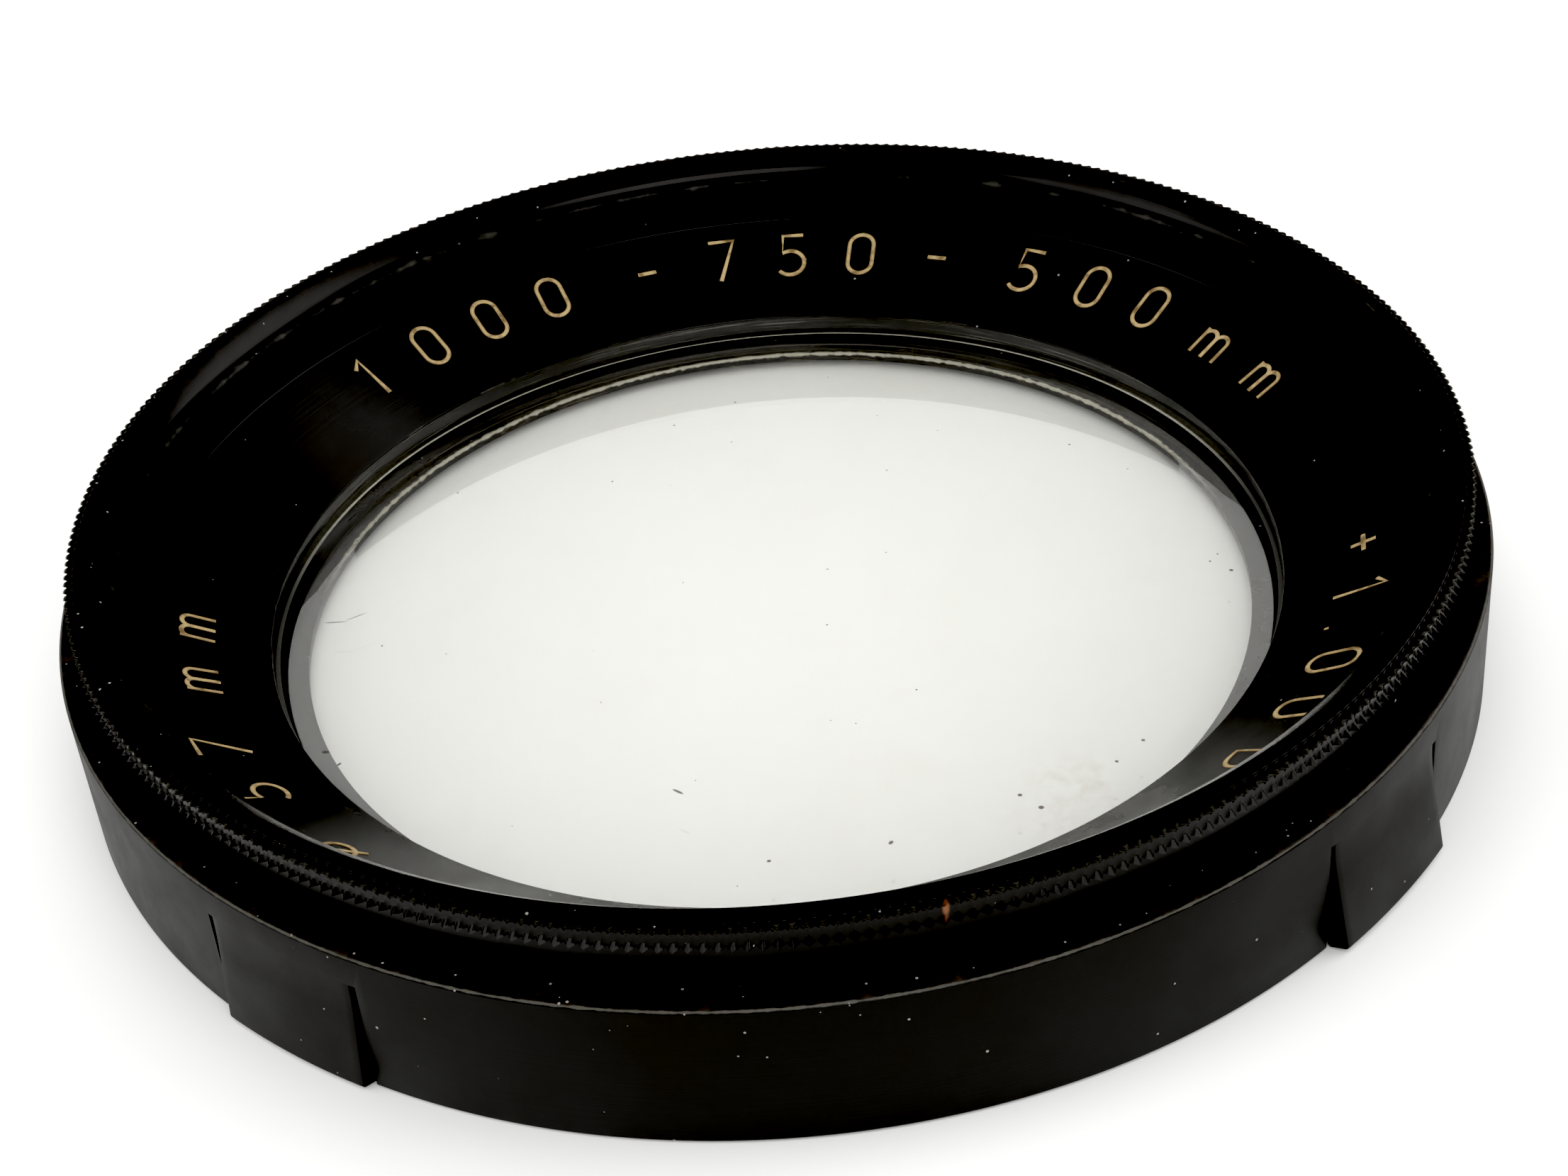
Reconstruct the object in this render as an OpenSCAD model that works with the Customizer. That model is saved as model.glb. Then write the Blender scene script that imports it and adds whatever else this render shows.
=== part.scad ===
// Slip-on portrait lens: a weak meniscus glass in a turned brass cell with a knurled rim,
// screwed into a thin collar whose four sawn tongues spring onto the barrel of a camera lens.
// Millimetres. +Z points out of the front of the lens. The origin is the centre of the foot
// of the collar, so the part stands on Z = 0.

/* [Collar] */
// Diameter of the bore that slips over the lens barrel
bore_d = 57; // [48:0.5:80]
// Wall of the collar round that bore
collar_wall = 0.8; // [0.6:0.05:1.5]
// Height of the collar, from its foot to the ledge round the cell
collar_h = 6.2; // [6:0.1:10]
// Thickness of the inward flange that carries the thread
flange_t = 1.3; // [1:0.1:2]
// How far the thread lies inside the bore
thread_inset = 1; // [0.8:0.05:2]
// Radial play of the thread
thread_play = 0.03; // [0.01:0.01:0.1]
// Bevel that breaks the collar's sharp edges
edge_break = 0.12; // [0.05:0.01:0.2]

/* [Spring tongues] */
// Width of a tongue, along the collar
tongue_w = 6.8; // [5:0.1:9]
// Width of the saw cut on each side of a tongue
slot_w = 0.25; // [0.2:0.05:0.5]
// Place of the first tongue round the collar, in degrees; the third is opposite
tongue_place_a = 50; // [30:1:60]
// Place of the second tongue round the collar, in degrees; the fourth is opposite
tongue_place_b = 136; // [120:1:150]
// How far most tongues are bent outwards, in degrees
tongue_flare = 5.5; // [0:0.5:8]
// How far the most used tongue is bent outwards, in degrees
worn_flare = 10.5; // [0:0.5:12]
// Gap that lets a tongue turn at its root
root_gap = 0.15; // [0.12:0.01:0.3]
// How far the end of a tongue stops short of the foot of the collar
tongue_lift = 0.1; // [0.08:0.01:0.3]

/* [Lens cell] */
// Depth of the cell behind the ledge of the collar
cell_depth = 5.85; // [5.6:0.05:5.95]
// Play between the cell's shoulder and the ledge of the collar
seat_play = 0.05; // [0.02:0.01:0.1]
// Wall of the threaded spigot
spigot_wall = 0.7; // [0.6:0.05:1]
// How far the spigot reaches below the flange of the collar
spigot_reach = 0.5; // [0.2:0.05:0.8]
// Width of the shoulder between the thread and the plain band
shoulder_w = 0.7; // [0.6:0.05:1.2]
// How far the knurl stands out over the plain band
knurl_rise = 0.3; // [0.2:0.05:0.5]
// Height of the knurl up to where the rim starts to round over
knurl_h = 0.84; // [0.6:0.02:1.4]
// Height of the rim above the groove of the snap ring
rim_lip = 0.85; // [0.7:0.05:1.5]
// Height of the rounded crown above the knurl
crown_h = 0.26; // [0.2:0.02:0.4]
// Width of the rounded shoulder of the crown
crown_w = 0.5; // [0.3:0.05:0.6]
// Thickness of the seat behind the glass
seat_t = 0.45; // [0.35:0.05:0.7]
// Width of the seat, from the edge of the glass inwards
seat_w = 2.1; // [1.4:0.1:3]
// Wall of the cup round the glass
cup_wall = 1.25; // [0.9:0.05:1.6]
// Thickness of the web between the cup and the spigot
web_t = 0.85; // [0.7:0.05:1.2]

/* [Glass] */
// Play round the edge of the glass
glass_play = 0.05; // [0.02:0.01:0.1]
// Thickness of the glass at its edge, where the front curve starts
glass_edge_t = 1.68; // [1.4:0.02:2.1]
// Radius of the front, convex face
front_curve = 150; // [110:5:400]
// Radius of the rear, hollow face
rear_curve = 210; // [160:5:600]
// Width of the ground bevel round the front face
bevel_w = 0.9; // [0.75:0.05:1.2]
// Depth of that bevel
bevel_h = 0.36; // [0.2:0.02:0.5]

/* [Name ring] */
// Wall of the upright outer part of the name ring
wall_t = 0.55; // [0.4:0.05:0.8]
// Height of that upright wall, up to the snap ring
wall_h = 1.6; // [1:0.1:2]
// Width of the dished face
dish_w = 5; // [4:0.1:6.5]
// Rise of the dished face from the lip to the wall
dish_rise = 2.65; // [2.2:0.05:3.2]
// Thickness of the dish, upright
dish_t = 1; // [0.8:0.05:1.2]
// Height of the upright lip round the opening
lip_h = 1; // [0.7:0.05:1.4]
// Width of the foot of the lip, which presses on the glass
lip_w = 1.4; // [1:0.1:1.8]
// How far the lip reaches over the edge of the glass
lip_overlap = 0.7; // [0.4:0.05:0.7]
// Play of the name ring in the cell
ring_play = 0.05; // [0.02:0.01:0.1]
// Depth of the rebate under the outer wall
rebate = 0.85; // [0.7:0.05:1]
// How far the shoulder of that rebate lies below the edge of the dished face
rebate_drop = 0.5; // [0.3:0.05:0.8]

/* [Snap ring] */
// Diameter of the wire
wire_d = 0.6; // [0.4:0.05:0.8]
// Depth of the groove that the wire springs into
groove_depth = 0.35; // [0.2:0.05:0.5]
// Width of the gap between the ends of the wire, in degrees
snap_gap = 10; // [4:1:30]
// Place of the first end of the wire, in degrees
snap_place = -23; // [-180:1:180]

/* [Engraving] */
// Height of the figures
figure_h = 2.3; // [1.5:0.1:2.8]
// Width of a stroke of the figures
stroke_w = 0.25; // [0.15:0.01:0.4]
// Depth of the filled strokes in the name ring
stroke_depth = 0.12; // [0.08:0.01:0.2]
// How far the foot of the figures is from the edge of the opening
figure_inset = 2.1; // [1.5:0.1:2.4]

/* [Hidden] */
$fn = 180;

// Collar
bore_r = bore_d / 2;
collar_r = bore_r + collar_wall;
flange_z = collar_h - flange_t;
thread_r = bore_r - thread_inset;
slot_top = flange_z - 0.05;
tongue_mid_r = bore_r + collar_wall / 2;
TONGUE_PLACES = [tongue_place_a, tongue_place_b, tongue_place_a + 180, tongue_place_b + 180];
TONGUE_FLARES = [tongue_flare, tongue_flare, tongue_flare, worn_flare];

// Radii, from the thread inwards: spigot, name ring, opening, glass and its seat
cell_bore_r = thread_r - spigot_wall;
ring_r = cell_bore_r - ring_play;
dish_r = ring_r - wall_t;
ring_neck_r = ring_r - rebate;
neck_bore_r = ring_neck_r + ring_play;
opening_r = dish_r - dish_w;
ring_foot_r = opening_r + lip_w;
foot_bore_r = ring_foot_r + 2 * ring_play;
glass_r = opening_r + lip_overlap;
glass_bore_r = glass_r + glass_play;
front_r = glass_r - bevel_w;
rear_opening_r = glass_r - seat_w;
rear_clear_r = rear_opening_r + 0.8;
cup_r = glass_bore_r + cup_wall;

// Radii, from the thread outwards: plain band and rim
band_r = thread_r + shoulder_w;
rim_r = band_r + knurl_rise;
groove_r = cell_bore_r + groove_depth;
wire_mid_r = groove_r - wire_d / 2 - ring_play / 2;

// Heights of the glass, on the seat of the cell
shelf_z = collar_h + seat_play;
cell_low_z = shelf_z - cell_depth;
seat_z = cell_low_z + seat_t;
front_z = seat_z + glass_edge_t;

// Heights of the name ring, whose lip presses on the bevel of the glass
lip_z = front_z - bevel_h * (opening_r - front_r) / bevel_w;
dish_low_z = lip_z + lip_h;
dish_high_z = dish_low_z + dish_rise;
wall_top_z = dish_high_z + wall_h;
shoulder_z = dish_high_z - rebate_drop;
dish_slope = dish_rise / dish_w;

// Heights of the cell, round the name ring and the snap ring
underside_gap = 3 * ring_play;
web_high_z = dish_z(ring_neck_r) - dish_t - underside_gap;
web_low_z = dish_z(ring_foot_r) - dish_t - underside_gap;
spigot_z = flange_z - spigot_reach;
groove_high_z = wall_top_z + wire_d;
rim_top_z = groove_high_z + rim_lip;
crown_z = rim_top_z - crown_h;
band_top_z = crown_z - knurl_h;

// Engraving
figure_r = opening_r + figure_inset;
dish_angle = atan(dish_slope);

// Height of the dished face at radius r
function dish_z(r) = dish_low_z + (r - opening_r) * dish_slope;

// Points of a circular arc, from angle a to angle b
function arc_points(x, y, r, a, b, steps) =
    [for (i = [0 : steps]) let (t = a + (b - a) * i / steps) [x + r * cos(t), y + r * sin(t)]];

// A ring turned from an outline of [radius, height] points
module turned(outline) {
    rotate_extrude()
        polygon(outline);
}

// Turns what is drawn at azimuth 0 to the place of one tongue
module at_tongue(i) {
    rotate([0, 0, TONGUE_PLACES[i]])
        children();
}

// Thin tube with an inward flange at its top. Four windows are sawn in it for the tongues.
module collar() {
    color("#141312")
        difference() {
            turned([
                [bore_r + edge_break, 0],
                [collar_r - edge_break, 0],
                [collar_r, edge_break],
                [collar_r, collar_h - edge_break],
                [collar_r - edge_break, collar_h],
                [thread_r + thread_play, collar_h],
                [thread_r + thread_play, flange_z],
                [bore_r, flange_z],
                [bore_r, edge_break]
            ]);
            for (i = [0 : 3])
                at_tongue(i)
                    translate([bore_r - 2, -tongue_w / 2 - slot_w, -1])
                        cube([collar_wall + 4, tongue_w + 2 * slot_w, slot_top + 1]);
        }
}

// One tongue of the collar's wall, bent outwards about its root
module spring_tongue(i) {
    color("#141312")
        at_tongue(i)
            translate([tongue_mid_r, 0, slot_top])
                rotate([0, -TONGUE_FLARES[i], 0])
                    translate([-tongue_mid_r, 0, -slot_top])
                        intersection() {
                            difference() {
                                cylinder(r = collar_r, h = collar_h);
                                translate([0, 0, -1])
                                    cylinder(r = bore_r, h = collar_h + 2);
                            }
                            translate([bore_r - 2, -tongue_w / 2, tongue_lift])
                                cube([collar_wall + 4, tongue_w, slot_top - root_gap - tongue_lift]);
                        }
}

// Turned cell: knurled rim, plain band, threaded spigot, web and cup with the seat of the glass
module lens_cell() {
    color("#100f0e")
        turned([
            [rear_opening_r, cell_low_z],
            [cup_r, cell_low_z],
            [cup_r, web_low_z - web_t],
            [neck_bore_r + 0.6, web_high_z - web_t],
            [neck_bore_r + 0.6, spigot_z],
            [thread_r, spigot_z],
            [thread_r, shelf_z],
            [band_r, shelf_z],
            [band_r, band_top_z],
            [rim_r, band_top_z],
            [rim_r, crown_z],
            [rim_r - crown_w * 0.3, crown_z + crown_h * 0.7],
            [rim_r - crown_w, rim_top_z],
            [rim_r - crown_w * 2, rim_top_z],
            [cell_bore_r + 0.1, groove_high_z + 0.3],
            [cell_bore_r, groove_high_z + 0.1],
            [cell_bore_r, groove_high_z],
            [groove_r, groove_high_z],
            [groove_r, wall_top_z],
            [cell_bore_r, wall_top_z],
            [cell_bore_r, shoulder_z - ring_play],
            [neck_bore_r, shoulder_z - ring_play],
            [neck_bore_r, web_high_z],
            [foot_bore_r, web_low_z],
            [foot_bore_r, lip_z - underside_gap],
            [glass_bore_r, lip_z - underside_gap],
            [glass_bore_r, seat_z],
            [rear_opening_r, seat_z]
        ]);
}

// Weak meniscus, hollow towards the camera, with a ground bevel round its front face
module glass_element() {
    color([0.86, 0.9, 0.88, 0.35])
        difference() {
            intersection() {
                turned([
                    [0, seat_z],
                    [glass_r, seat_z],
                    [glass_r, front_z - bevel_h],
                    [front_r, front_z],
                    [0, front_z + 6]
                ]);
                translate([0, 0, front_z - sqrt(pow(front_curve, 2) - pow(front_r, 2))])
                    sphere(r = front_curve, $fn = 360);
            }
            translate([0, 0, seat_z - sqrt(pow(rear_curve, 2) - pow(rear_clear_r, 2))])
                sphere(r = rear_curve, $fn = 360);
        }
}

// Dished ring that holds the glass down. Its upright wall stands under the snap ring.
module name_ring() {
    color("#0d0c0c")
        turned([
            [opening_r, lip_z],
            [ring_foot_r, lip_z],
            [ring_foot_r, dish_z(ring_foot_r) - dish_t],
            [ring_neck_r, dish_z(ring_neck_r) - dish_t],
            [ring_neck_r, shoulder_z],
            [ring_r, shoulder_z],
            [ring_r, wall_top_z],
            [dish_r, wall_top_z],
            [dish_r, dish_high_z],
            [opening_r, dish_low_z]
        ]);
}

// Split ring of spring wire, sprung into the groove inside the rim
module snap_ring() {
    color("#2a2826")
        rotate([0, 0, snap_place])
            translate([0, 0, wall_top_z + wire_d / 2])
                rotate_extrude(angle = 360 - snap_gap)
                    translate([wire_mid_r, 0])
                        circle(d = wire_d, $fn = 32);
}

// A straight stroke between two points of a figure, in shares of the figure's height
module stroke(a, b) {
    run = [b.x - a.x, b.y - a.y] * figure_h;
    translate([a.x, a.y] * figure_h)
        rotate([0, 0, atan2(run.y, run.x)])
            translate([-stroke_w / 2, -stroke_w / 2])
                square([norm(run) + stroke_w, stroke_w]);
}

// A curved stroke, about the point c with radius r, from angle a to angle b
module bow(c, r, a, b) {
    mid = r * figure_h;
    x = c.x * figure_h;
    y = c.y * figure_h;
    polygon(concat(
        arc_points(x, y, mid + stroke_w / 2, a, b, 8),
        arc_points(x, y, mid - stroke_w / 2, b, a, 8)
    ));
}

// Figures and signs, drawn with the strokes above. Each stands on y = 0 and is centred on x = 0.
module figure(sign) {
    if (sign == "0") {
        bow([0, 0.72], 0.26, 0, 180);
        bow([0, 0.28], 0.26, 180, 360);
        stroke([-0.26, 0.28], [-0.26, 0.72]);
        stroke([0.26, 0.28], [0.26, 0.72]);
    }
    if (sign == "1") {
        stroke([0.05, 0], [0.05, 1]);
        stroke([-0.15, 0.8], [0.05, 1]);
    }
    if (sign == "5") {
        stroke([-0.2, 1], [0.22, 1]);
        stroke([-0.2, 0.56], [-0.2, 1]);
        bow([-0.04, 0.31], 0.3, -140, 122);
    }
    if (sign == "7") {
        stroke([-0.26, 1], [0.26, 1]);
        stroke([-0.1, 0], [0.26, 1]);
    }
    if (sign == "m") {
        for (x = [-0.32, 0, 0.32])
            stroke([x, 0], [x, 0.46]);
        stroke([-0.32, 0.46], [-0.32, 0.62]);
        for (x = [-0.16, 0.16])
            bow([x, 0.46], 0.16, 0, 180);
    }
    if (sign == "D") {
        stroke([-0.26, 0], [-0.26, 1]);
        stroke([-0.26, 0], [-0.04, 0]);
        stroke([-0.26, 1], [-0.04, 1]);
        bow([-0.04, 0.7], 0.3, 0, 90);
        bow([-0.04, 0.3], 0.3, 270, 360);
        stroke([0.26, 0.3], [0.26, 0.7]);
    }
    if (sign == "o") {
        bow([0, 0.5], 0.28, 0, 180);
        bow([0, 0.5], 0.28, 180, 360);
        stroke([-0.3, 0.12], [0.3, 0.88]);
    }
    if (sign == "+") {
        stroke([-0.24, 0.5], [0.24, 0.5]);
        stroke([0, 0.26], [0, 0.74]);
    }
    if (sign == "-")
        stroke([-0.2, 0.5], [0.2, 0.5]);
    if (sign == ".")
        stroke([-0.02, 0.04], [0.02, 0.04]);
}

// Figures standing on a circle of the dished face. The places are degrees round the ring.
module legend(signs, places) {
    for (i = [0 : len(places) - 1])
        rotate([0, 0, places[i] - 90])
            translate([0, figure_r, dish_z(figure_r)])
                rotate([dish_angle, 0, 0])
                    translate([0, 0, -stroke_depth])
                        linear_extrude(stroke_depth + 0.02)
                            figure(signs[i]);
}

// Pale paint in the engraved figures: working distances, power and bore
module engraving_fill() {
    color("#c3a468") {
        legend("1000", [137, 128.5, 120.5, 112.5]);
        legend("-750-", [101, 92, 84, 76, 67]);
        legend("500mm", [56, 47.5, 39.5, 29.5, 20.5]);
        legend("+1.00D", [-12, -19.5, -25, -31, -38.5, -47]);
        legend("o57mm", [-134, -146, -154, -166, -175]);
    }
}

collar();
spring_tongue(0);  // spring_tongue_1
spring_tongue(1);  // spring_tongue_2
spring_tongue(2);  // spring_tongue_3
spring_tongue(3);  // spring_tongue_4
lens_cell();
glass_element();
name_ring();
snap_ring();
engraving_fill();
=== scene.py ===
import math

import bmesh
import bpy
from mathutils import Matrix, Vector


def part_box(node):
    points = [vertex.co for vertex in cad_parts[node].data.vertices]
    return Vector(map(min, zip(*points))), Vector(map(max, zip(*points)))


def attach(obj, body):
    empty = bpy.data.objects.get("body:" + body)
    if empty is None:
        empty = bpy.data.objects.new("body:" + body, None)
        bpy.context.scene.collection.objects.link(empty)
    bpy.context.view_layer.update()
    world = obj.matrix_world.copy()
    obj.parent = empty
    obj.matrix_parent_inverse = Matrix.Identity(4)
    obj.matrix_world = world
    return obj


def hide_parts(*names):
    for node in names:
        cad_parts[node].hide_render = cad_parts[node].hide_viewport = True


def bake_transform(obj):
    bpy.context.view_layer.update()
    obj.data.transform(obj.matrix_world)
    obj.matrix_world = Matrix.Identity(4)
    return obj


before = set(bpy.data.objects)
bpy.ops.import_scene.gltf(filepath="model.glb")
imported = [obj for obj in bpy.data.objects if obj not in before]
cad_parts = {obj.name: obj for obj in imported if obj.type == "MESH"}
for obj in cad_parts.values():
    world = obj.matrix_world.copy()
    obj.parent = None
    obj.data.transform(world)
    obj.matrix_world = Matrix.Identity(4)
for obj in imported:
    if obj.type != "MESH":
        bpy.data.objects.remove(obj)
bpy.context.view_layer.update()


# ---------------------------------------------------------------- Collar
# Thin brass tube, turned and stove-lacquered black, that slips over the barrel of a camera
# lens. Its inward flange holds the thread for the cell, and pairs of saw cuts free the four
# spring tongues. Its top stands out round the cell as a narrow ledge, where dust gathers.
mm = 0.001
tiny = 0.001 * mm
collar_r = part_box("collar")[1].x
ledge_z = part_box("collar")[1].z
bore_r = collar_r - 0.8 * mm
flange_z = ledge_z - 1.3 * mm
thread_bore_r = bore_r - 0.97 * mm
edge_break = 0.12 * mm
small_break = 0.05 * mm
cut_top_z = flange_z - 0.05 * mm
window_w = 7.3 * mm
saw_reach = 5 * mm
saw_h = 6 * mm
tongue_places = (50, 136, 230, 316)


def draw_outline(name, points, closed=True):
    """Draws an outline of (radius, height) points, each pulled on from the one before."""
    bpy.ops.object.select_all(action="DESELECT")
    radius, height = points[0]
    bpy.ops.mesh.primitive_plane_add(size=mm, location=(radius, 0, height))
    piece = bpy.context.object
    piece.name = name
    piece.data.name = name
    bpy.ops.object.transform_apply(location=True)
    bpy.ops.object.mode_set(mode="EDIT")
    bpy.ops.mesh.merge(type="CENTER")
    ends = points[1:] + points[:1] if closed else points[1:]
    for start, end in zip(points, ends):
        step = (end[0] - start[0], 0, end[1] - start[1])
        bpy.ops.mesh.extrude_region_move(TRANSFORM_OT_translate={"value": step})
    bpy.ops.mesh.select_all(action="SELECT")
    bpy.ops.mesh.remove_doubles(threshold=tiny)
    return piece


def choose_points(piece, wanted):
    """Selects the points of a piece in edit mode whose place wanted() says yes to."""
    shape = bmesh.from_edit_mesh(piece.data)
    shape.select_mode = {"VERT"}
    for point in shape.verts:
        point.select = bool(wanted(point.co))
    shape.select_flush_mode()
    bmesh.update_edit_mesh(piece.data)


def choose_edges(piece, wanted):
    """Selects the edges of a piece in edit mode whose two ends wanted() says yes to."""
    bpy.ops.mesh.select_mode(type="EDGE")
    shape = bmesh.from_edit_mesh(piece.data)
    for edge in shape.edges:
        edge.select = bool(wanted(edge.verts[0].co, edge.verts[1].co))
    shape.select_flush(True)
    bmesh.update_edit_mesh(piece.data)


def break_corners(piece, width, wanted=lambda place: True):
    """Rounds the corners of a drawn outline, before it is turned."""
    choose_points(piece, wanted)
    bpy.ops.mesh.bevel(offset=width, segments=2, affect="VERTICES", clamp_overlap=True)


def turn_on_lathe(piece, steps):
    """Turns a drawn outline once round the axis into a closed shell."""
    bpy.ops.mesh.select_all(action="SELECT")
    bpy.ops.mesh.spin(steps=steps, angle=math.tau, center=(0, 0, 0), axis=(0, 0, 1))
    close_shell(piece)


def close_shell(piece):
    """Merges the seams of a piece, turns its faces outwards and shades its round faces smooth."""
    bpy.ops.mesh.select_mode(type="VERT")
    bpy.ops.mesh.select_all(action="SELECT")
    bpy.ops.mesh.remove_doubles(threshold=tiny)
    bpy.ops.mesh.normals_make_consistent(inside=False)
    bpy.ops.object.mode_set(mode="OBJECT")
    bpy.ops.object.select_all(action="DESELECT")
    piece.select_set(True)
    bpy.context.view_layer.objects.active = piece
    bpy.ops.object.shade_smooth_by_angle(angle=math.radians(34))


def radius_of(place):
    """Distance of a point from the axis of the lens."""
    return math.hypot(place.x, place.y)


collar = draw_outline("collar_tube", [
    (bore_r + edge_break, 0),
    (collar_r - edge_break, 0),
    (collar_r, edge_break),
    (collar_r, ledge_z - edge_break),
    (collar_r - edge_break, ledge_z),
    (thread_bore_r, ledge_z),
    (thread_bore_r, flange_z),
    (bore_r, flange_z),
    (bore_r, edge_break),
])
break_corners(collar, 0.03 * mm)
turn_on_lathe(collar, 360)

for place in tongue_places:
    bpy.ops.object.select_all(action="DESELECT")
    out = Matrix.Rotation(math.radians(place), 3, "Z") @ Vector((bore_r, 0, 0))
    bpy.ops.mesh.primitive_cube_add(
        size=1,
        location=(out.x, out.y, cut_top_z - saw_h / 2),
        rotation=(0, 0, math.radians(place)),
        scale=(saw_reach, window_w, saw_h),
    )
    saw = bpy.context.object
    cut = collar.modifiers.new("saw cuts", "BOOLEAN")
    cut.object = saw
    cut.operation = "DIFFERENCE"
    cut.solver = "EXACT"
    bpy.context.view_layer.objects.active = collar
    bpy.ops.object.modifier_apply(modifier=cut.name)
    bpy.data.objects.remove(saw)


def at_saw_cut(one, other):
    """True for the upright edges that a saw cut leaves in the collar's wall."""
    return abs(one.z - other.z) > 4 * mm and max(one.z, other.z) < cut_top_z + 0.01 * mm


bpy.ops.object.select_all(action="DESELECT")
collar.select_set(True)
bpy.ops.object.mode_set(mode="EDIT")
choose_edges(collar, at_saw_cut)
bpy.ops.mesh.bevel(offset=small_break, segments=2, affect="EDGES")
close_shell(collar)


def add_node(tree, kind, inputs=None, **settings):
    """Adds a shader node. An input is a plain value, or the output that feeds it."""
    made = tree.nodes.new(kind)
    for key, value in settings.items():
        setattr(made, key, value)
    for key, value in (inputs or {}).items():
        if isinstance(value, bpy.types.NodeSocket):
            tree.links.new(value, made.inputs[key])
        else:
            made.inputs[key].default_value = value
    return made


def calc(tree, operation, a, b=0.0):
    """A sum of two values in the shader."""
    return add_node(tree, "ShaderNodeMath", {0: a, 1: b}, operation=operation).outputs[0]


def fade(tree, value, low, high, at_low=0.0, at_high=1.0):
    """A smooth step from one value to another, as the input goes from low to high."""
    inputs = {"Value": value, 1: low, 2: high, 3: at_low, 4: at_high}
    made = add_node(tree, "ShaderNodeMapRange", inputs, interpolation_type="SMOOTHSTEP")
    return made.outputs[0]


def component(tree, vector, axis):
    """One part of a place or direction: 0 for x, 1 for y, 2 for z."""
    return add_node(tree, "ShaderNodeSeparateXYZ", {0: vector}).outputs[axis]


def length_of(tree, vector):
    """The length of a vector in the shader."""
    return add_node(tree, "ShaderNodeVectorMath", {0: vector}, operation="LENGTH").outputs[1]


def radius_at(tree, place):
    """Distance from the axis of the lens, in the shader."""
    flat = add_node(tree, "ShaderNodeVectorMath", {0: place, 1: (1, 1, 0)}, operation="MULTIPLY")
    return length_of(tree, flat.outputs[0])


def mix_colours(tree, share, first, second):
    """The first colour where share is 0, the second where it is 1."""
    inputs = {0: share, 6: first, 7: second}
    return add_node(tree, "ShaderNodeMix", inputs, data_type="RGBA").outputs[2]


def noise(tree, place, size, detail=3.0, roughness=0.5):
    """Cloudy variation with features of the given size, from 0 to 1."""
    inputs = {"Vector": place, "Scale": 1 / size, "Detail": detail, "Roughness": roughness}
    return add_node(tree, "ShaderNodeTexNoise", inputs).outputs[0]


def new_finish(name):
    """Starts a material. Gives it with its node tree, its shader and the place on the piece."""
    finish = bpy.data.materials.new(name)
    finish.use_nodes = True
    tree = finish.node_tree
    place = add_node(tree, "ShaderNodeTexCoord").outputs["Object"]
    return finish, tree, tree.nodes["Principled BSDF"], place


def raise_grain(tree, shader, height, strength, depth):
    """Lets a height pattern catch the light as fine relief."""
    inputs = {"Height": height, "Strength": strength, "Distance": depth}
    tree.links.new(add_node(tree, "ShaderNodeBump", inputs).outputs[0], shader.inputs["Normal"])


def oval_spot(tree, place, centre, turn, size, core):
    """A soft-edged oval: 1 within its core, 0 outside. The size is its three half lengths."""
    inputs = {0: place, 1: centre, 2: (0, 0, math.radians(turn)), 3: size}
    local = add_node(tree, "ShaderNodeMapping", inputs, vector_type="TEXTURE").outputs[0]
    return fade(tree, length_of(tree, local), core, 1.1, 1.0, 0.0)


def new_group(name, inputs, outputs):
    """Starts a node group with these inputs and outputs."""
    group = bpy.data.node_groups.new(name, "ShaderNodeTree")
    for label, kind in inputs.items():
        group.interface.new_socket(label, in_out="INPUT", socket_type=kind)
    for label in outputs:
        group.interface.new_socket(label, in_out="OUTPUT", socket_type="NodeSocketFloat")
    entry = group.nodes.new("NodeGroupInput")
    result = group.nodes.new("NodeGroupOutput")
    return group, entry.outputs, result.inputs


def use_group(tree, group, inputs):
    """Places a node group in a material, with its own values."""
    placed = tree.nodes.new("ShaderNodeGroup")
    placed.node_tree = group
    for label, value in inputs.items():
        if isinstance(value, bpy.types.NodeSocket):
            tree.links.new(value, placed.inputs[label])
        else:
            placed.inputs[label].default_value = value
    return placed.outputs


def make_edge_wear_and_highlight():
    """A patchy line along a turned edge: lacquer worn thin, and on some pieces a pale line painted as
    a highlight. The edge is a circle at Radius, Height.
    """
    group, entry, result = new_group("worn edge and highlight", {
        "Place": "NodeSocketVector",
        "Radius": "NodeSocketFloat",
        "Height": "NodeSocketFloat",
        "Width": "NodeSocketFloat",
        "Patches": "NodeSocketFloat",
    }, ["Wear"])
    aside = calc(group, "SUBTRACT", radius_at(group, entry["Place"]), entry["Radius"])
    above = calc(group, "SUBTRACT", component(group, entry["Place"], 2), entry["Height"])
    gap = length_of(group, add_node(group, "ShaderNodeCombineXYZ", {0: aside, 1: above}).outputs[0])
    ragged = calc(group, "MULTIPLY", noise(group, entry["Place"], 0.35 * mm, 4), 1.4)
    share = calc(group, "DIVIDE", gap, entry["Width"])
    near = fade(group, calc(group, "ADD", share, ragged), 0.9, 1.5, 1.0, 0.0)
    cloud = noise(group, entry["Place"], 4 * mm, 4, 0.6)
    patch = fade(group, calc(group, "ADD", cloud, entry["Patches"]), 0.95, 1.1)
    group.links.new(calc(group, "MULTIPLY", near, patch), result["Wear"])
    return group


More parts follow.
